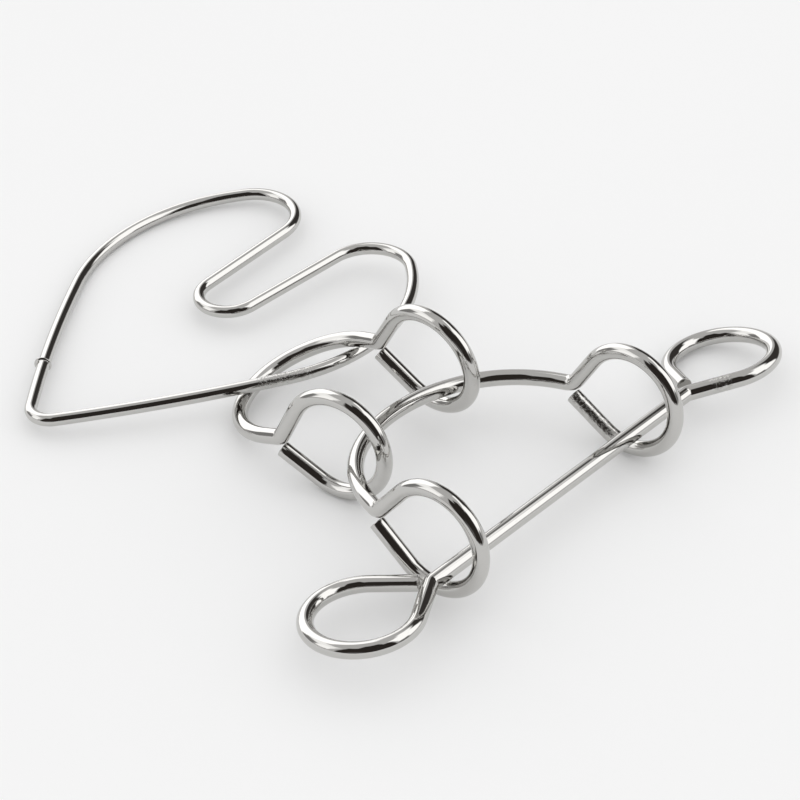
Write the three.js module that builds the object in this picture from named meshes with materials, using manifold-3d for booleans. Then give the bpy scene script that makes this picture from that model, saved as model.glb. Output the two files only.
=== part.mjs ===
// Metal wire disentanglement puzzle: a closed heart, two U-shaped shackles with an eye
// at each end, and a straight cross bar with a loop at each end, all linked together.
//
// Lengths are millimetres and angles are degrees. X runs the way the shackles open, Y along
// the cross bar and Z up from the table. The origin is on the table, under the middle.
import * as THREE from 'three';
import { mergeVertices } from 'three/addons/utils/BufferGeometryUtils.js';
import Manifold from 'manifold-3d';

// ---- wire ----
const THICK_WIRE_RADIUS = 1.5;   // shackles and cross bar
const THIN_WIRE_RADIUS = 1.2;    // heart
const WIRE_SIDES = 10;           // flats round the wire
const STATION_TURN = 12;         // most a bend turns between two of its stations

// ---- eyes: the round loops that end the shackles ----
const EYE_RADIUS = 9.75;         // centreline of an eye's round part
const EYE_TURN = 268.2;          // how far the round part goes round
const NECK_ANGLE = 45.7;         // between an eye's axis and its neck
const NECK_LENGTH = 7.9;         // from the corner at the foot of the neck to the round part
const TAIL_LENGTH = 8.8;         // from the round part to the cut end

// ---- shackles ----
// arcs are the tangent bends of half of the U, from its middle. lead is the straight from
// them to the corner. An eye's tilt raises it out of the U's plane, its splay turns it away
// from the U's axis, and its roll leans it over.
const SMALL_SHACKLE = {
  arcs: [{ radius: 14.6, turn: 93 }],
  lead: 4.05,
  cornerRadius: 2.0,
  nearEye: { tilt: -2, splay: -9.4, roll: -7.8 },
  farEye: { tilt: -5.6, splay: -0.3, roll: 6 },
};
const LARGE_SHACKLE = {
  arcs: [{ radius: 31.6, turn: 25 }, { radius: 23.85, turn: 44.2 }],
  lead: 3,
  cornerRadius: 2.6,
  nearEye: { tilt: 3.2, splay: -2.6, roll: 0.4 },
  farEye: { tilt: 10.4, splay: 3, roll: -0.2 },
};

// ---- cross bar ----
const CROSS_BAR = {
  length: 72.6,                  // from corner to corner
  cornerRadius: 2.0,
  neckLength: 9.95,
  nearLoop: {
    neckAngle: 42.4, radius: 9.65, turn: 266.2, tailLength: 8.3, tilt: -12.8, roll: 7.2,
  },
  farLoop: {
    neckAngle: 42.4, radius: 9.9, turn: 274.4, tailLength: 6.1, tilt: -6.8, roll: 13.1,
  },
};

// ---- heart: tangent arcs from the tip round a lobe, then a straight leg to the notch ----
const TIP_RADIUS = 4.2;
const FAR_LEG_LENGTH = 22.25;
const FAR_SIDE = {
  tipTurn: 49.7,
  side: { radius: 294, turn: 8 },
  shoulder: { radius: 36.8, turn: 71.9 },
  lobe: { radius: 9.35, turn: 137 },
};
const NEAR_SIDE = {
  tipTurn: 51.5,
  side: { radius: 318, turn: 7.9 },
  shoulder: { radius: 31.7, turn: 82.6 },
  lobe: { radius: 8.7, turn: 125.3 },
};
const WELD_TURN = 2.65;          // turn of the far side between the tip's arc and the butt weld
const WELD_GAP = 0.1;            // between the wire's two ends, inside the weld
const WELD_HALF_LENGTH = 0.7;
const WELD_SWELL = 0.15;         // how far the weld stands out of the wire
const WELD_STATIONS = 6;         // rings along the weld

// ---- where each piece lies: position, then turn about Z, rise along X and lean about X ----
const POSES = {
  small_shackle: { at: [4.65, -10.5, 8.3], turn: 0, rise: 21.6, lean: 9.4 },
  large_shackle: { at: [53.2, -6.05, 12.2], turn: 0, rise: 5, lean: -3.5 },
  cross_bar: { at: [55.35, -0.3, 6.6], turn: 90.5, rise: -1.7, lean: -2.7 },
  heart_loop: { at: [-31.6, -46.05, 3.25], turn: 88.3, rise: 0.7, lean: -4.6 },
};

const ALONG_X = new THREE.Vector3(1, 0, 0);
const ALONG_Y = new THREE.Vector3(0, 1, 0);
const UP = new THREE.Vector3(0, 0, 1);
const DOWN = new THREE.Vector3(0, 0, -1);
const FAR = 1;                   // the side of a piece towards +Y, or +X on the bar
const NEAR = -1;

const radians = THREE.MathUtils.degToRad;
const degrees = THREE.MathUtils.radToDeg;

// A wire's centreline, laid out the way a wire is bent: straights and bends end to end.
class WirePath extends THREE.Curve {
  constructor(start, heading) {
    super();
    this.points = [start.clone()];
    this.headings = [heading.clone().normalize()];
  }

  get end() {
    return this.points.at(-1);
  }

  get heading() {
    return this.headings.at(-1);
  }

  straight(length) {
    this.points.push(this.end.clone().addScaledVector(this.heading, length));
    this.headings.push(this.heading.clone());
  }

  bend(axis, radius, turn) {
    const start = this.end;
    const heading = this.heading;
    const centre = new THREE.Vector3().crossVectors(axis, heading).multiplyScalar(radius).add(start);
    const stations = Math.ceil(turn / STATION_TURN);
    for (let i = 1; i <= stations; i += 1) {
      const angle = radians(turn * i / stations);
      const arm = start.clone().sub(centre).applyAxisAngle(axis, angle);
      this.points.push(arm.add(centre));
      this.headings.push(heading.clone().applyAxisAngle(axis, angle));
    }
  }

  bendTowards(direction, radius) {
    const axis = new THREE.Vector3().crossVectors(this.heading, direction).normalize();
    this.bend(axis, radius, degrees(this.heading.angleTo(direction)));
  }

  reversed() {
    const path = new WirePath(this.end, this.heading);
    path.points = this.points.toReversed();
    path.headings = this.headings.toReversed().map((heading) => heading.clone().negate());
    return path;
  }

  // Goes on along another path that starts where this one ends.
  join(path) {
    this.points.push(...path.points.slice(1));
    this.headings.push(...path.headings.slice(1));
    return this;
  }

  // The stations as they stand: close together on bends, far apart on straights.
  getSpacedPoints() {
    return this.points;
  }

  getTangentAt(u) {
    return this.headings[Math.round(u * (this.headings.length - 1))].clone();
  }
}

// A direction turned from one unit vector towards another at right angles to it.
function lean(from, towards, angle) {
  const part = from.clone().multiplyScalar(Math.cos(radians(angle)));
  return part.addScaledVector(towards, Math.sin(radians(angle)));
}

// Ends a wire in an eye: a sharp corner, a straight neck, a round part and a straight tail.
function addEye(path, corner, out, up, eye) {
  const neck = lean(out, up, eye.tilt + eye.neckAngle);
  const axis = new THREE.Vector3().crossVectors(up, out);
  const cornerTurn = path.heading.angleTo(neck);
  const cut = eye.cornerRadius * Math.tan(cornerTurn / 2);
  path.straight(corner.distanceTo(path.end) - cut);
  path.bendTowards(neck, eye.cornerRadius);
  path.straight(eye.neckLength - cut);
  path.bend(axis, eye.radius, eye.turn);
  path.straight(eye.tailLength);
}

// One half of a shackle, from the middle of its U to the cut end of its tail.
function shackleHalf(shackle, side, pose) {
  const middle = new THREE.Vector3(-shackle.arcs[0].radius, 0, 0);
  const path = new WirePath(middle, lean(ALONG_X, ALONG_Y, side * 90));
  for (const arc of shackle.arcs) {
    path.bend(side === FAR ? DOWN : UP, arc.radius, arc.turn);
  }
  const corner = path.end.clone().addScaledVector(path.heading, shackle.lead);
  const out = lean(ALONG_X, ALONG_Y, side * pose.splay);
  const up = UP.clone().applyAxisAngle(out, radians(-side * pose.roll));
  addEye(path, corner, out, up, {
    cornerRadius: shackle.cornerRadius,
    neckAngle: NECK_ANGLE,
    neckLength: NECK_LENGTH,
    radius: EYE_RADIUS,
    turn: EYE_TURN,
    tailLength: TAIL_LENGTH,
    tilt: pose.tilt,
  });
  return path;
}

function shacklePath(shackle) {
  const near = shackleHalf(shackle, NEAR, shackle.nearEye);
  const far = shackleHalf(shackle, FAR, shackle.farEye);
  return near.reversed().join(far);
}

// One half of the cross bar, from its middle to the cut end of its tail.
function barHalf(side, loop) {
  const out = ALONG_X.clone().multiplyScalar(side);
  const up = lean(ALONG_Y.clone().negate(), UP, loop.roll);
  const path = new WirePath(new THREE.Vector3(), out);
  const corner = out.clone().multiplyScalar(CROSS_BAR.length / 2);
  const { cornerRadius, neckLength } = CROSS_BAR;
  addEye(path, corner, out, up, { ...loop, cornerRadius, neckLength });
  return path;
}

function barPath() {
  return barHalf(NEAR, CROSS_BAR.nearLoop).reversed().join(barHalf(FAR, CROSS_BAR.farLoop));
}

// The far side of the heart between the middle of its tip and the butt weld.
function tipToWeld() {
  const path = new WirePath(new THREE.Vector3(), ALONG_Y);
  path.bend(DOWN, TIP_RADIUS, FAR_SIDE.tipTurn);
  path.bend(DOWN, FAR_SIDE.side.radius, WELD_TURN);
  return path;
}

// The far side from the weld to the end of its lobe.
function weldToFarLobe(start) {
  const path = new WirePath(start.end, start.heading);
  path.bend(DOWN, FAR_SIDE.side.radius, FAR_SIDE.side.turn - WELD_TURN);
  path.bend(DOWN, FAR_SIDE.shoulder.radius, FAR_SIDE.shoulder.turn);
  path.bend(DOWN, FAR_SIDE.lobe.radius, FAR_SIDE.lobe.turn);
  return path;
}

// The near side from the middle of the tip to the end of its lobe.
function tipToNearLobe() {
  const path = new WirePath(new THREE.Vector3(), ALONG_Y.clone().negate());
  path.bend(UP, TIP_RADIUS, NEAR_SIDE.tipTurn);
  path.bend(UP, NEAR_SIDE.side.radius, NEAR_SIDE.side.turn);
  path.bend(UP, NEAR_SIDE.shoulder.radius, NEAR_SIDE.shoulder.turn);
  path.bend(UP, NEAR_SIDE.lobe.radius, NEAR_SIDE.lobe.turn);
  return path;
}

// Adds both legs and the notch bend between them. The bend touches both legs, so its radius
// and the near leg's length follow from where the legs run.
function addNotch(far, near) {
  far.straight(FAR_LEG_LENGTH);
  const farNormal = new THREE.Vector3().crossVectors(UP, far.heading);
  const nearNormal = new THREE.Vector3().crossVectors(near.heading, UP);
  const apart = far.end.clone().sub(near.end);
  const radius = apart.dot(nearNormal) / (1 - farNormal.dot(nearNormal));
  const centre = far.end.clone().addScaledVector(farNormal, radius);
  const nearTouch = centre.addScaledVector(nearNormal, -radius);
  near.straight(nearTouch.sub(near.end).dot(near.heading));
  far.bend(UP, radius, degrees(far.heading.angleTo(near.heading.clone().negate())));
}

// The whole heart, from the weld round both lobes and the tip, back to the weld.
function heartPath() {
  const first = tipToWeld();
  const path = weldToFarLobe(first);
  const near = tipToNearLobe();
  addNotch(path, near);
  path.join(near.reversed()).join(first);
  path.points[0] = path.points[0].clone().addScaledVector(first.heading, WELD_GAP / 2);
  path.points[path.points.length - 1] = path.end.clone().addScaledVector(first.heading, -WELD_GAP / 2);
  return path;
}

function wireGeometry(path, radius) {
  const corners = [];
  for (let i = 0; i < WIRE_SIDES; i += 1) {
    const angle = radians(360 * i / WIRE_SIDES);
    corners.push(new THREE.Vector2(radius * Math.cos(angle), radius * Math.sin(angle)));
  }
  const options = { steps: path.points.length - 1, extrudePath: path, bevelEnabled: false };
  return new THREE.ExtrudeGeometry(new THREE.Shape(corners), options);
}

// The butt weld: a short barrel over the joint, swelling out of the wire in its middle.
function weldGeometry(at, heading) {
  const profile = [new THREE.Vector2(0, -WELD_HALF_LENGTH)];
  for (let i = 0; i <= WELD_STATIONS; i += 1) {
    const along = 2 * i / WELD_STATIONS - 1;
    const swell = WELD_SWELL * (2 * Math.cos(along * Math.PI / 2) - 1);
    profile.push(new THREE.Vector2(THIN_WIRE_RADIUS + swell, along * WELD_HALF_LENGTH));
  }
  profile.push(new THREE.Vector2(0, WELD_HALF_LENGTH));
  const geometry = new THREE.LatheGeometry(profile, WIRE_SIDES + 2);
  geometry.applyQuaternion(new THREE.Quaternion().setFromUnitVectors(ALONG_Y, heading));
  return geometry.translate(at.x, at.y, at.z);
}

function toSolid(wasm, geometry) {
  geometry.deleteAttribute('normal');
  geometry.deleteAttribute('uv');
  const merged = mergeVertices(geometry);
  const vertProperties = new Float32Array(merged.getAttribute('position').array);
  const triVerts = new Uint32Array(merged.getIndex().array);
  return new wasm.Manifold(new wasm.Mesh({ numProp: 3, vertProperties, triVerts }));
}

function toGeometry(solid) {
  const mesh = solid.getMesh();
  const geometry = new THREE.BufferGeometry();
  geometry.setAttribute('position', new THREE.BufferAttribute(mesh.vertProperties, 3));
  geometry.setIndex(new THREE.BufferAttribute(mesh.triVerts, 1));
  geometry.computeVertexNormals();
  return geometry;
}

async function heartGeometry() {
  const wasm = await Manifold();
  wasm.setup();
  const weldPlace = tipToWeld();
  const wire = toSolid(wasm, wireGeometry(heartPath(), THIN_WIRE_RADIUS));
  const weld = toSolid(wasm, weldGeometry(weldPlace.end, weldPlace.heading));
  return toGeometry(wire.add(weld));
}

function polishedWire() {
  return new THREE.MeshStandardMaterial({ color: 0xc8c7c3, roughness: 0.12, metalness: 1.0 });
}

function piece(name, geometry) {
  const mesh = new THREE.Mesh(geometry, polishedWire());
  const pose = POSES[name];
  mesh.name = name;
  mesh.position.set(...pose.at);
  mesh.rotation.set(radians(pose.lean), -radians(pose.rise), radians(pose.turn), 'ZYX');
  return mesh;
}

const puzzle = new THREE.Group();
puzzle.add(piece('heart_loop', await heartGeometry()));
puzzle.add(piece('small_shackle', wireGeometry(shacklePath(SMALL_SHACKLE), THICK_WIRE_RADIUS)));
puzzle.add(piece('large_shackle', wireGeometry(shacklePath(LARGE_SHACKLE), THICK_WIRE_RADIUS)));
puzzle.add(piece('cross_bar', wireGeometry(barPath(), THICK_WIRE_RADIUS)));

export default puzzle;
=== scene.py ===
import math

import bpy
from mathutils import Matrix, Vector


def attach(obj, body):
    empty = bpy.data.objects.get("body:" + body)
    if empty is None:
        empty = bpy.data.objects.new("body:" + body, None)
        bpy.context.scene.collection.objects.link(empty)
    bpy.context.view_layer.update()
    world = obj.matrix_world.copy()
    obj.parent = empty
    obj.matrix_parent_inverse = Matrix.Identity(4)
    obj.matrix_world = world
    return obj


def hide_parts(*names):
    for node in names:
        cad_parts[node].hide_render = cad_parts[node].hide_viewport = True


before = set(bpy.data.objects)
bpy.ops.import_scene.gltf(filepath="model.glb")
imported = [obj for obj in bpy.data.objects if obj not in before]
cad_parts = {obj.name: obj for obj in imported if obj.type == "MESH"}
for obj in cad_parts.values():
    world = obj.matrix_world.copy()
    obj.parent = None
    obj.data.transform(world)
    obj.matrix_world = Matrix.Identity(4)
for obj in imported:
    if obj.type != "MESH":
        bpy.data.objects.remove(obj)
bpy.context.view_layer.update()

# Looks for a wire disentanglement puzzle: a closed heart, two U-shaped shackles with an eye at
# each end, and a cross bar with a loop at each end. Each CAD tube is replaced by a round,
# polished wire bent by the same driving dimensions. Shapes are in millimetres and degrees
# until wire_piece() turns them into metres.

MM = 0.001

# ---- wire ----
THICK_WIRE_RADIUS = 1.5
THIN_WIRE_RADIUS = 1.2
WIRE_SIDES = 40
BEND_STEP = 3.0          # most a bend turns between two rings
STRAIGHT_STEP = 1.5      # most a straight runs between two rings
SIDE_STEP = 0.3          # most a heart side, which is nearly straight, turns between two rings
CUT_ROUNDING = 0.16      # rounded edge of a cut end
CUT_RINGS = 4

# ---- eyes: see addEye in the CAD for tilt, splay and roll ----
EYE = {"neck_angle": 45.7, "neck_length": 7.9, "radius": 9.75, "turn": 268.2, "tail_length": 8.8}

# ---- shackles ----
SMALL_SHACKLE = {
    "arcs": [(14.6, 93.0)],
    "lead": 4.05,
    "corner_radius": 2.0,
    "near_eye": {"tilt": -2.0, "splay": -9.4, "roll": -7.8},
    "far_eye": {"tilt": -5.6, "splay": -0.3, "roll": 6.0},
}
LARGE_SHACKLE = {
    "arcs": [(31.6, 25.0), (23.85, 44.2)],
    "lead": 3.0,
    "corner_radius": 2.6,
    "near_eye": {"tilt": 3.2, "splay": -2.6, "roll": 0.4},
    "far_eye": {"tilt": 10.4, "splay": 3.0, "roll": -0.2},
}

# ---- cross bar ----
BAR_LENGTH = 72.6
BAR_CORNER_RADIUS = 2.0
NEAR_LOOP = {
    "neck_angle": 42.4, "neck_length": 9.95, "radius": 9.65, "turn": 266.2,
    "tail_length": 8.3, "tilt": -12.8, "roll": 7.2,
}
FAR_LOOP = {
    "neck_angle": 42.4, "neck_length": 9.95, "radius": 9.9, "turn": 274.4,
    "tail_length": 6.1, "tilt": -6.8, "roll": 13.1,
}

# ---- heart: radius and turn of each tangent arc ----
TIP_RADIUS = 4.2
FAR_LEG_LENGTH = 22.25
FAR_SIDE = {
    "tip_turn": 49.7,
    "side": (294, 8.0),
    "shoulder": (36.8, 71.9),
    "lobe": (9.35, 137.0),
}
NEAR_SIDE = {
    "tip_turn": 51.5,
    "side": (318, 7.9),
    "shoulder": (31.7, 82.6),
    "lobe": (8.7, 125.3),
}
WELD_TURN = 2.65
WELD_REACH = 0.8         # half the length of the weld's swelling
WELD_SWELL = 0.08
FLASH_REACH = 0.26       # half the width of the thin ridge squeezed out in the weld's middle
FLASH_SWELL = 0.36
WELD_LEAN = 0.35         # how much of the swelling also shifts the weld outwards
WELD_STEP = 0.05

# ---- where each piece lies, as in the CAD ----
POSES = {
    "small_shackle": {"at": (4.65, -10.5, 8.3), "turn": 0.0, "rise": 21.6, "lean": 9.4},
    "large_shackle": {"at": (53.2, -6.05, 12.2), "turn": 0.0, "rise": 5.0, "lean": -3.5},
    "cross_bar": {"at": (55.35, -0.3, 6.6), "turn": 90.5, "rise": -1.7, "lean": -2.7},
    "heart_loop": {"at": (-31.6, -46.05, 3.25), "turn": 88.3, "rise": 0.7, "lean": -4.6},
}

# ---- camera, in metres ----
CAMERA_AZIMUTH = 41.46
CAMERA_ELEVATION = 38.28
CAMERA_DISTANCE = 0.5556
CAMERA_LENS = 134.3
SENSOR_WIDTH = 36.0
LOOK_AT = Vector((0.01221, 0.0049, 0.0))
FLOOR_RADIUS = 3.0
FLOOR_CORNERS = 96

ALONG_X = Vector((1, 0, 0))
ALONG_Y = Vector((0, 1, 0))
UP = Vector((0, 0, 1))
FAR = 1                  # the side of a piece towards +Y, or +X on the bar
NEAR = -1


# ---------------------------------------------------------------- wire paths
def turned(vector, axis, angle):
    """A vector turned about an axis."""
    return Matrix.Rotation(math.radians(angle), 3, axis) @ vector


def lean(start, towards, angle):
    """A direction turned from one unit vector towards another at right angles to it."""
    return start * math.cos(math.radians(angle)) + towards * math.sin(math.radians(angle))


class WirePath:
    """A wire's centreline, laid out the way a wire is bent: straights and bends end to end."""

    def __init__(self, start, heading):
        self.points = [start.copy()]
        self.headings = [heading.normalized()]

    @property
    def end(self):
        return self.points[-1]

    @property
    def heading(self):
        return self.headings[-1]

    def straight(self, length, step=STRAIGHT_STEP):
        """Goes on straight ahead."""
        start = self.end
        count = max(1, math.ceil(length / step))
        for i in range(1, count + 1):
            self.points.append(start + self.heading * (length * i / count))
            self.headings.append(self.heading)

    def bend(self, axis, radius, turn, step=BEND_STEP):
        """Goes on round an arc that turns the heading about an axis."""
        start, heading = self.end, self.heading
        centre = start + axis.cross(heading) * radius
        count = max(1, math.ceil(turn / step))
        for i in range(1, count + 1):
            angle = turn * i / count
            self.points.append(centre + turned(start - centre, axis, angle))
            self.headings.append(turned(heading, axis, angle))

    def bend_towards(self, direction, radius):
        """Goes on round an arc that ends heading in a direction."""
        axis = self.heading.cross(direction).normalized()
        self.bend(axis, radius, math.degrees(self.heading.angle(direction)))

    def reversed(self):
        """The same wire, followed from its other end."""
        path = WirePath(self.end, -self.heading)
        path.points = list(reversed(self.points))
        path.headings = [-heading for heading in reversed(self.headings)]
        return path

    def join(self, path):
        """Goes on along another path that starts where this one ends."""
        self.points += path.points[1:]
        self.headings += path.headings[1:]
        return self


def add_eye(path, corner, out, up, eye, corner_radius):
    """Ends a wire in an eye: a sharp corner, a straight neck, a round part and a tail."""
    neck = lean(out, up, eye["tilt"] + eye["neck_angle"])
    cut = corner_radius * math.tan(path.heading.angle(neck) / 2)
    path.straight((corner - path.end).length - cut)
    path.bend_towards(neck, corner_radius)
    path.straight(eye["neck_length"] - cut)
    path.bend(up.cross(out), eye["radius"], eye["turn"])
    path.straight(eye["tail_length"])


def shackle_half(shackle, side, pose):
    """One half of a shackle, from the middle of its U to the cut end of its tail."""
    path = WirePath(-ALONG_X * shackle["arcs"][0][0], ALONG_Y * side)
    for radius, turn in shackle["arcs"]:
        path.bend(-UP * side, radius, turn)
    corner = path.end + path.heading * shackle["lead"]
    out = lean(ALONG_X, ALONG_Y, side * pose["splay"])
    up = turned(UP, out, -side * pose["roll"])
    add_eye(path, corner, out, up, {**EYE, "tilt": pose["tilt"]}, shackle["corner_radius"])
    return path


def shackle_path(shackle):
    """A whole shackle, from the near tail's cut end to the far tail's."""
    near = shackle_half(shackle, NEAR, shackle["near_eye"])
    far = shackle_half(shackle, FAR, shackle["far_eye"])
    return near.reversed().join(far)


def bar_half(side, loop):
    """One half of the cross bar, from its middle to the cut end of its tail."""
    out = ALONG_X * side
    up = lean(-ALONG_Y, UP, loop["roll"])
    path = WirePath(Vector(), out)
    add_eye(path, out * (BAR_LENGTH / 2), out, up, loop, BAR_CORNER_RADIUS)
    return path


def bar_path():
    """The whole cross bar, from the near tail's cut end to the far tail's."""
    return bar_half(NEAR, NEAR_LOOP).reversed().join(bar_half(FAR, FAR_LOOP))


def tip_to_weld():
    """The far side of the heart from the middle of its tip to the butt weld."""
    path = WirePath(Vector(), ALONG_Y)
    radius = FAR_SIDE["side"][0]
    weld_turn = math.degrees(WELD_REACH / radius)
    path.bend(-UP, TIP_RADIUS, FAR_SIDE["tip_turn"])
    path.bend(-UP, radius, WELD_TURN - weld_turn, step=SIDE_STEP)
    path.bend(-UP, radius, weld_turn, step=math.degrees(WELD_STEP / radius))
    return path


def weld_to_far_lobe(start):
    """The far side from the weld to the end of its lobe."""
    path = WirePath(start.end, start.heading)
    radius, turn = FAR_SIDE["side"]
    weld_turn = math.degrees(WELD_REACH / radius)
    path.bend(-UP, radius, weld_turn, step=math.degrees(WELD_STEP / radius))
    path.bend(-UP, radius, turn - WELD_TURN - weld_turn, step=SIDE_STEP)
    path.bend(-UP, *FAR_SIDE["shoulder"])
    path.bend(-UP, *FAR_SIDE["lobe"])
    return path


def tip_to_near_lobe():
    """The near side from the middle of the tip to the end of its lobe."""
    path = WirePath(Vector(), -ALONG_Y)
    path.bend(UP, TIP_RADIUS, NEAR_SIDE["tip_turn"])
    path.bend(UP, *NEAR_SIDE["side"], step=SIDE_STEP)
    path.bend(UP, *NEAR_SIDE["shoulder"])
    path.bend(UP, *NEAR_SIDE["lobe"])
    return path


def add_notch(far, near):
    """Adds both legs and the notch bend, whose radius follows from where the legs run."""
    far.straight(FAR_LEG_LENGTH)
    far_normal = UP.cross(far.heading)
    near_normal = near.heading.cross(UP)
    radius = (far.end - near.end).dot(near_normal) / (1 - far_normal.dot(near_normal))
    near_touch = far.end + far_normal * radius - near_normal * radius
    near.straight((near_touch - near.end).dot(near.heading))
    far.bend(UP, radius, math.degrees(far.heading.angle(-near.heading)))


def heart_path():
    """The closed heart, from the butt weld round both lobes and the tip, back to the weld."""
    first = tip_to_weld()
    path = weld_to_far_lobe(first)
    near = tip_to_near_lobe()
    add_notch(path, near)
    return path.join(near.reversed()).join(first)


# ---------------------------------------------------------------- wire meshes
def distances(path):
    """How far along the wire each station lies."""
    along = [0.0]
    for before, after in zip(path.points, path.points[1:]):
        along.append(along[-1] + (after - before).length)
    return along


def sides_of(path):
    """A direction at right angles to the wire at each station, carried along without twist."""
    side = UP
    found = []
    for heading in path.headings:
        side = (side - heading * side.dot(heading)).normalized()
        found.append(side)
    return found


def weld_swell(distance):
    """How far the weld stands out of the wire, by distance from its middle."""
    bead = WELD_SWELL * max(0.0, math.cos(min(distance / WELD_REACH, 1) * math.pi / 2)) ** 2
    flash = FLASH_SWELL * max(0.0, 1 - (distance / FLASH_REACH) ** 2)
    return bead + flash


def open_rings(path, radius):
    """Rings of an open wire: (point, heading, side, radius, distance along)."""
    along = distances(path)
    sides = sides_of(path)
    stations = list(zip(path.points, path.headings, sides, along))
    first, last = stations[0], stations[-1]
    rings = []
    for i in range(CUT_RINGS + 1):
        rings.append(rounded_ring(first, radius, 90 * i / CUT_RINGS, 1))
    for point, heading, side, distance in stations[1:-1]:
        rings.append((point, heading, side, radius, distance))
    for i in range(CUT_RINGS, -1, -1):
        rings.append(rounded_ring(last, radius, 90 * i / CUT_RINGS, -1))
    return rings


def rounded_ring(station, radius, angle, inwards):
    """One ring of the rounding at a cut end, from the flat face at 0 to the wire at 90."""
    point, heading, side, distance = station
    depth = CUT_ROUNDING * (1 - math.cos(math.radians(angle))) * inwards
    shrink = CUT_ROUNDING * (1 - math.sin(math.radians(angle)))
    return (point + heading * depth, heading, side, radius - shrink, distance + depth)


def closed_rings(path, radius):
    """Rings of the closed wire, swollen and shifted outwards at its weld."""
    along = distances(path)
    total = along[-1]
    rings = []
    for point, heading, side, distance in zip(path.points, path.headings, sides_of(path), along):
        swell = weld_swell(min(distance, total - distance))
        middle = point + UP.cross(heading) * (swell * WELD_LEAN)
        rings.append((middle, heading, side, radius + swell, distance))
    return rings[:-1]


def ring_corners(ring):
    """The corners round one ring, and each one's place in the wire's own coordinates."""
    point, heading, side, radius, along = ring
    other = heading.cross(side)
    for i in range(WIRE_SIDES):
        angle = 2 * math.pi * i / WIRE_SIDES
        across, above = radius * math.cos(angle), radius * math.sin(angle)
        yield point + side * across + other * above, Vector((along, across, above))


def placing(name):
    """The matrix from a piece's own millimetres to metres in the shared frame."""
    pose = POSES[name]
    place = Matrix.Translation(Vector(pose["at"]))
    place = place @ Matrix.Rotation(math.radians(pose["turn"]), 4, "Z")
    place = place @ Matrix.Rotation(math.radians(-pose["rise"]), 4, "Y")
    place = place @ Matrix.Rotation(math.radians(pose["lean"]), 4, "X")
    return Matrix.Scale(MM, 4) @ place


def wall_faces(count, closed):
    """The four-sided faces between each ring and the next."""
    faces = []
    for i in range(count if closed else count - 1):
        here, there = i * WIRE_SIDES, (i + 1) % count * WIRE_SIDES
        for j in range(WIRE_SIDES):
            k = (j + 1) % WIRE_SIDES
            faces.append((here + j, here + k, there + k, there + j))
    return faces


def end_faces(count):
    """The flat faces that close an open wire's first and last rings."""
    last = (count - 1) * WIRE_SIDES
    return [tuple(reversed(range(WIRE_SIDES))), tuple(last + j for j in range(WIRE_SIDES))]


def wire_piece(name, rings, closed):
    """A round wire through the rings, riding on and standing for the CAD node of that name."""
    corners, places = [], []
    for ring in rings:
        for corner, wire_place in ring_corners(ring):
            corners.append(placing(name) @ corner)
            places.append(wire_place)
    walls = wall_faces(len(rings), closed)
    ends = [] if closed else end_faces(len(rings))
    mesh = bpy.data.meshes.new(name + "_wire")
    mesh.from_pydata(corners, [], walls + ends)
    for face in mesh.polygons:
        face.use_smooth = face.index < len(walls)
    wire_places = mesh.attributes.new("wire_place", "FLOAT_VECTOR", "POINT")
    wire_places.data.foreach_set("vector", [number for place in places for number in place])
    mesh.materials.append(plated_wire(name))
    piece = bpy.data.objects.new(name + "_wire", mesh)
    bpy.context.scene.collection.objects.link(piece)
    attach(piece, name)
    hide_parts(name)


# ---------------------------------------------------------------- materials
class Nodes:
    """A short way to write a node tree."""

    def __init__(self, tree):
        self.tree = tree
        tree.nodes.clear()

    def add(self, kind, **settings):
        """A new node of a kind, with its own settings."""
        node = self.tree.nodes.new(kind)
        for key, value in settings.items():
            setattr(node, key, value)
        return node

    def link(self, output, socket):
        self.tree.links.new(output, socket)

    def fill(self, socket, value):
        """Sets a socket to a number, or links it to another node's output."""
        if isinstance(value, bpy.types.NodeSocket):
            self.link(value, socket)
        else:
            socket.default_value = value

    def maths(self, operation, a, b=0.0):
        node = self.add("ShaderNodeMath", operation=operation)
        self.fill(node.inputs[0], a)
        self.fill(node.inputs[1], b)
        return node.outputs[0]

    def total(self, first, *others):
        """The sum of several values."""
        result = first
        for value in others:
            result = self.maths("ADD", result, value)
        return result

    def dot(self, a, direction):
        """How far a vector reaches in a direction."""
        node = self.add("ShaderNodeVectorMath", operation="DOT_PRODUCT")
        self.link(a, node.inputs[0])
        node.inputs[1].default_value = direction
        return node.outputs["Value"]

    def spread(self, value, low, high, new_low, new_high):
        """Maps a value smoothly from one range to another."""
        node = self.add("ShaderNodeMapRange", interpolation_type="SMOOTHSTEP")
        self.fill(node.inputs["Value"], value)
        node.inputs["From Min"].default_value = low
        node.inputs["From Max"].default_value = high
        node.inputs["To Min"].default_value = new_low
        node.inputs["To Max"].default_value = new_high
        return node.outputs["Result"]

    def noise(self, place, stretch, scale, detail=4.0, rough=0.55):
        """Noise over a place, stretched or squeezed along its axes."""
        mapping = self.add("ShaderNodeMapping")
        self.link(place, mapping.inputs["Vector"])
        mapping.inputs["Scale"].default_value = stretch
        node = self.add("ShaderNodeTexNoise")
        self.link(mapping.outputs[0], node.inputs["Vector"])
        node.inputs["Scale"].default_value = scale
        node.inputs["Detail"].default_value = detail
        node.inputs["Roughness"].default_value = rough
        return node.outputs["Fac"]

    def mix(self, factor, first, second):
        """A colour between two others."""
        node = self.add("ShaderNodeMix", data_type="RGBA")
        self.fill(node.inputs["Factor"], factor)
        node.inputs["A"].default_value = (*first, 1)
        node.inputs["B"].default_value = (*second, 1)
        return node.outputs["Result"]

    def finish(self, kind, shader):
        """Adds the tree's output node and gives it the shader."""
        output = self.add(kind)
        self.link(shader.outputs[0], output.inputs["Surface"])


def new_material(name):
    """A material, and the nodes that its look is built from."""
    material = bpy.data.materials.new(name)
    material.use_nodes = True
    return material, Nodes(material.node_tree)


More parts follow.
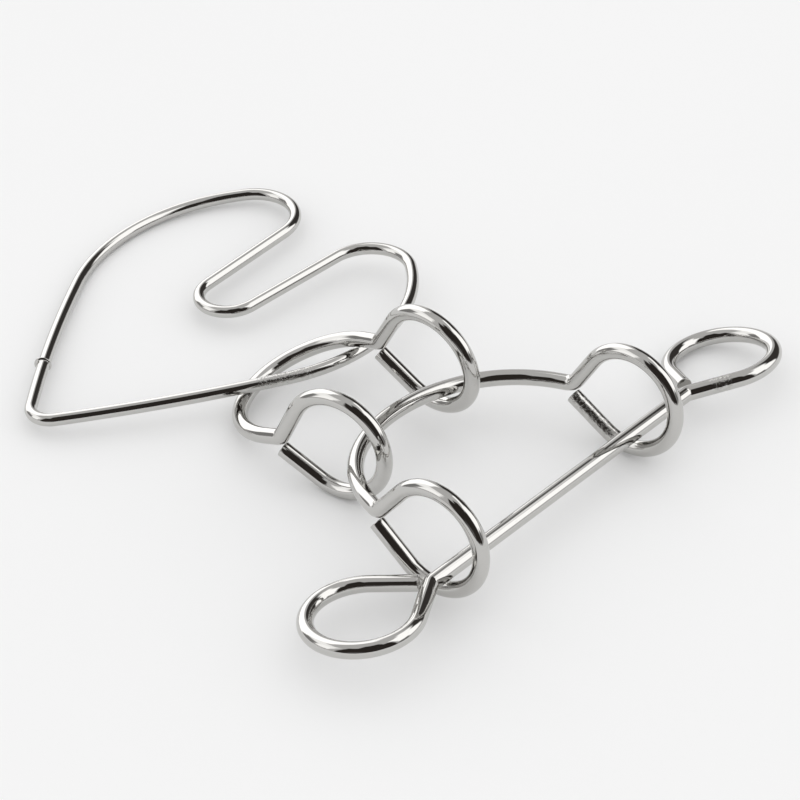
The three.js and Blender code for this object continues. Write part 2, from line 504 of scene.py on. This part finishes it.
NICKEL_BRIGHT = (0.56, 0.553, 0.536)
NICKEL_DULL = (0.46, 0.452, 0.432)
EVEN_STRETCH = (1.0, 1.0, 1.0)
NOISE_MIDDLE = 0.5
NOISE_SPAN = (0.3, 0.7)               # where nearly all of a noise's values lie
# Each noise over the plating: how it is stretched along, across and above the wire, its scale
# per millimetre, its detail and its roughness. Values below 1 draw it out along the wire.
LINE_NOISE = {"stretch": (0.05, 1.0, 1.0), "scale": 4.0, "detail": 6.0, "rough": 0.65}
HAZE_NOISE = {"stretch": (0.3, 1.0, 1.0), "scale": 0.35, "detail": 3.0}
RUB_NOISE = {"stretch": (0.8, 1.0, 1.0), "scale": 2.2, "detail": 8.0, "rough": 0.7}
RIPPLE_NOISE = {"stretch": (0.12, 0.5, 0.5), "scale": 0.9, "detail": 2.0}
SPECKLE_NOISE = {"stretch": (0.8, 1.0, 1.0), "scale": 2.4, "detail": 3.0}
LINE_RANGE = (0.45, 0.7)              # the part of a noise that shows
RUB_RANGE = (0.56, 0.72)
SPECKLE_RANGE = (0.45, 0.62)
RUB_DULLNESS = (0.15, 0.6)            # of rub marks on clear plate and on hazy plate
SPECKLE_DULLNESS = 0.6
BUMP_DEPTH = 0.02 * MM                # for a height of 1
LINE_HEIGHT = 0.10
RUB_HEIGHT = -0.05
SPECKLE_HEIGHT = 0.9
ROUGH_SPANS = {                       # where the plating is rough, in mm along the wire
    "heart_loop": (220.0, 229.0),
    "large_shackle": (184.0, 197.0),
    "cross_bar": (141.0, 143.5),
}
SPAN_FADE = 1.2                       # mm over which the roughness dies away
HAZE_ROUGHNESS = (0.012, 0.038)       # of clear plate and of hazy plate
LINE_ROUGHNESS = 0.014                # added by the draw lines
RUB_ROUGHNESS = 0.05                  # added by rub marks
SPECKLE_ROUGHNESS = 0.10              # added by rough plating


def rough_span(nodes, place, name):
    """1 over a wire's rough span and 0 elsewhere."""
    start, end = ROUGH_SPANS.get(name, (-SPAN_FADE, -SPAN_FADE))
    along = nodes.dot(place, ALONG_X)
    before = nodes.spread(along, start - SPAN_FADE, start, 0.0, 1.0)
    after = nodes.spread(along, end, end + SPAN_FADE, 1.0, 0.0)
    return nodes.maths("MULTIPLY", before, after)


def plated_wire(name):
    """Polished nickel plate: faint draw lines, hazy patches, rub marks and rough spots."""
    material, nodes = new_material(name)
    place = nodes.add("ShaderNodeAttribute", attribute_name="wire_place").outputs["Vector"]
    lines = nodes.noise(place, **LINE_NOISE)
    haze = nodes.noise(place, **HAZE_NOISE)
    ripple = nodes.noise(place, **RIPPLE_NOISE)
    rubs = nodes.spread(nodes.noise(place, **RUB_NOISE), *RUB_RANGE, 0.0, 1.0)
    speckle = nodes.spread(nodes.noise(place, **SPECKLE_NOISE), *SPECKLE_RANGE, 0.0, 1.0)
    speckle = nodes.maths("MULTIPLY", speckle, rough_span(nodes, place, name))

    dullness = nodes.maths("MULTIPLY", rubs, nodes.spread(haze, *NOISE_SPAN, *RUB_DULLNESS))
    dullness = nodes.maths("MAXIMUM", dullness, nodes.maths("MULTIPLY", speckle, SPECKLE_DULLNESS))
    rough = nodes.total(
        nodes.spread(haze, *NOISE_SPAN, *HAZE_ROUGHNESS),
        nodes.spread(lines, *LINE_RANGE, 0.0, LINE_ROUGHNESS),
        nodes.maths("MULTIPLY", rubs, RUB_ROUGHNESS),
        nodes.maths("MULTIPLY", speckle, SPECKLE_ROUGHNESS),
    )
    height = nodes.total(
        nodes.maths("MULTIPLY", lines, LINE_HEIGHT),
        ripple,
        nodes.maths("MULTIPLY", rubs, RUB_HEIGHT),
        nodes.maths("MULTIPLY", speckle, SPECKLE_HEIGHT),
    )

    shader = nodes.add("ShaderNodeBsdfPrincipled")
    shader.inputs["Metallic"].default_value = 1.0
    nodes.link(nodes.mix(dullness, NICKEL_BRIGHT, NICKEL_DULL), shader.inputs["Base Color"])
    nodes.link(rough, shader.inputs["Roughness"])
    bump = nodes.add("ShaderNodeBump")
    bump.inputs["Strength"].default_value = 1.0
    bump.inputs["Distance"].default_value = BUMP_DEPTH
    nodes.link(height, bump.inputs["Height"])
    nodes.link(bump.outputs[0], shader.inputs["Normal"])
    nodes.finish("ShaderNodeOutputMaterial", shader)
    return material


FLOOR_PALE = (0.93, 0.93, 0.93)
FLOOR_SHADE = (0.91, 0.91, 0.91)
FLOOR_CLOUD_SCALE = 6.0
FLOOR_GRAIN_SCALE = 900.0
FLOOR_ROUGHNESS = (0.75, 0.9)
FLOOR_SHINE = 0.1


def floor_material():
    """A pale matt table top, with faint clouding."""
    material, nodes = new_material("pale_table")
    place = nodes.add("ShaderNodeTexCoord").outputs["Object"]
    cloud = nodes.noise(place, EVEN_STRETCH, FLOOR_CLOUD_SCALE)
    grain = nodes.noise(place, EVEN_STRETCH, FLOOR_GRAIN_SCALE)
    shader = nodes.add("ShaderNodeBsdfPrincipled")
    nodes.link(nodes.mix(cloud, FLOOR_PALE, FLOOR_SHADE), shader.inputs["Base Color"])
    nodes.link(nodes.spread(grain, *NOISE_SPAN, *FLOOR_ROUGHNESS), shader.inputs["Roughness"])
    shader.inputs["Specular IOR Level"].default_value = FLOOR_SHINE
    nodes.finish("ShaderNodeOutputMaterial", shader)
    return material


# ---------------------------------------------------------------- studio
def level_direction(azimuth):
    """The level direction at an azimuth counted anticlockwise from the camera's side."""
    angle = math.radians(CAMERA_AZIMUTH - 90 + azimuth)
    return Vector((math.cos(angle), math.sin(angle), 0))


# What the polished wire sees: each patch is centred on an azimuth from the camera's side, and
# is a soft-edged box in azimuth and elevation whose brightness takes the walls' place.
WALLS = 0.66
STUDIO_PATCHES = [
    {"azimuth": -146, "half_width": 27, "low": -40, "high": 55, "soft": 2.5, "light": 1.9},
    {"azimuth": -90, "half_width": 30, "low": 26, "high": 50, "soft": 4, "light": 1.45},
    {"azimuth": -75, "half_width": 13, "low": 9, "high": 34, "soft": 2.5, "light": 1.6},
    {"azimuth": -104, "half_width": 13, "low": 0, "high": 24, "soft": 4, "light": 0.28},
    {"azimuth": 103, "half_width": 42, "low": 12, "high": 66, "soft": 3, "light": 1.75},
    {"azimuth": 146, "half_width": 27, "low": 4, "high": 48, "soft": 4, "light": 0.04},
    {"azimuth": 70, "half_width": 12, "low": 3, "high": 20, "soft": 3, "light": 0.22},
    {"azimuth": 4, "half_width": 52, "low": 2, "high": 58, "soft": 2.5, "light": 0.02},
    {"azimuth": 8, "half_width": 33, "low": 50, "high": 78, "soft": 2.5, "light": 0.02},
    {"azimuth": -15, "half_width": 14, "low": -4, "high": 14, "soft": 4, "light": 0.14},
]
EDGE_WAVER = 0.14        # how far the patches' edges wander, in radians for the whole noise range
WAVER_SCALE = 3.5
WAVER_DETAIL = 3.0
SIDEWAYS_STRETCH = (1.3, 1.3, 1.3)     # uneven with the upward wander, so the two aren't alike
BACKDROP = (1.0, 1.0, 1.0)
WARM_GLOW = (0.014, 0.009, 0.006)      # what is left in the darkest openings


def studio():
    """Pale even light, with the walls, softboxes and dark openings seen only in reflections."""
    world = bpy.data.worlds.new("studio")
    world.use_nodes = True
    nodes = Nodes(world.node_tree)
    reflected = nodes.add("ShaderNodeBackground")
    nodes.link(studio_brightness(nodes), reflected.inputs["Color"])
    studio_light = nodes.add("ShaderNodeAddShader")
    nodes.link(reflected.outputs[0], studio_light.inputs[0])
    nodes.link(even_light(nodes, WARM_GLOW), studio_light.inputs[1])
    blend = nodes.add("ShaderNodeMixShader")
    nodes.link(nodes.add("ShaderNodeLightPath").outputs["Is Glossy Ray"], blend.inputs[0])
    nodes.link(even_light(nodes, BACKDROP), blend.inputs[1])
    nodes.link(studio_light.outputs[0], blend.inputs[2])
    nodes.finish("ShaderNodeOutputWorld", blend)
    bpy.context.scene.world = world


def even_light(nodes, colour):
    """The same light from every side."""
    light = nodes.add("ShaderNodeBackground")
    light.inputs["Color"].default_value = (*colour, 1)
    return light.outputs[0]


def studio_brightness(nodes):
    """How bright the studio is in the direction looked in."""
    look = nodes.add("ShaderNodeTexCoord").outputs["Generated"]
    height = nodes.maths("ARCSINE", nodes.dot(look, UP))
    height = nodes.maths("ADD", height, waver(nodes, look, EVEN_STRETCH))
    sideways = waver(nodes, look, SIDEWAYS_STRETCH)
    seen = WALLS
    for patch in STUDIO_PATCHES:
        inside = patch_cover(nodes, look, height, sideways, patch)
        change = nodes.maths("SUBTRACT", patch["light"], seen)
        seen = nodes.maths("ADD", seen, nodes.maths("MULTIPLY", change, inside))
    return seen


def patch_cover(nodes, look, height, sideways, patch):
    """1 inside a patch and 0 outside it, with soft edges."""
    middle = level_direction(patch["azimuth"])
    across = nodes.maths("ARCTAN2", nodes.dot(look, UP.cross(middle)), nodes.dot(look, middle))
    across = nodes.maths("ABSOLUTE", nodes.maths("ADD", across, sideways))
    inside = fade_out(nodes, across, patch["half_width"], patch["soft"])
    inside = nodes.maths("MULTIPLY", inside, fade_out(nodes, height, patch["high"], patch["soft"]))
    return nodes.maths("MULTIPLY", inside, fade_in(nodes, height, patch["low"], patch["soft"]))


def waver(nodes, look, stretch):
    """A small shift that wanders with the direction looked in."""
    noise = nodes.noise(look, stretch, WAVER_SCALE, WAVER_DETAIL)
    return nodes.maths("MULTIPLY", nodes.maths("SUBTRACT", noise, NOISE_MIDDLE), EDGE_WAVER)


def fade_out(nodes, angle, edge, soft):
    """1 below an edge, falling softly to 0 above it. Edges are in degrees, angles in radians."""
    return nodes.spread(angle, math.radians(edge - soft), math.radians(edge + soft), 1.0, 0.0)


def fade_in(nodes, angle, edge, soft):
    """0 below an edge, rising softly to 1 above it."""
    return nodes.spread(angle, math.radians(edge - soft), math.radians(edge + soft), 0.0, 1.0)


def floor():
    """A plain round table top, its middle under the puzzle."""
    corners = []
    for i in range(FLOOR_CORNERS):
        angle = 2 * math.pi * i / FLOOR_CORNERS
        corners.append((FLOOR_RADIUS * math.cos(angle), FLOOR_RADIUS * math.sin(angle), 0.0))
    mesh = bpy.data.meshes.new("table_top")
    mesh.from_pydata(corners, [], [tuple(range(FLOOR_CORNERS))])
    mesh.materials.append(floor_material())
    top = bpy.data.objects.new("table_top", mesh)
    bpy.context.scene.collection.objects.link(top)


def camera():
    """The viewpoint that the puzzle is shown from."""
    data = bpy.data.cameras.new("camera")
    data.lens = CAMERA_LENS
    data.sensor_width = SENSOR_WIDTH
    azimuth, elevation = math.radians(CAMERA_AZIMUTH), math.radians(CAMERA_ELEVATION)
    level = math.cos(elevation)
    back = Vector((math.sin(azimuth) * level, -math.cos(azimuth) * level, math.sin(elevation)))
    eye = bpy.data.objects.new("camera", data)
    eye.location = LOOK_AT + back * CAMERA_DISTANCE
    eye.rotation_euler = (-back).to_track_quat("-Z", "Y").to_euler()
    bpy.context.scene.collection.objects.link(eye)
    bpy.context.scene.camera = eye


# ---------------------------------------------------------------- the puzzle
def puzzle():
    """The heart, which is closed, and the three open wires."""
    wire_piece("heart_loop", closed_rings(heart_path(), THIN_WIRE_RADIUS), closed=True)
    for name, path in (
        ("small_shackle", shackle_path(SMALL_SHACKLE)),
        ("large_shackle", shackle_path(LARGE_SHACKLE)),
        ("cross_bar", bar_path()),
    ):
        wire_piece(name, open_rings(path, THICK_WIRE_RADIUS), closed=False)


camera()
puzzle()
floor()
studio()
bpy.context.scene.view_settings.view_transform = "Standard"
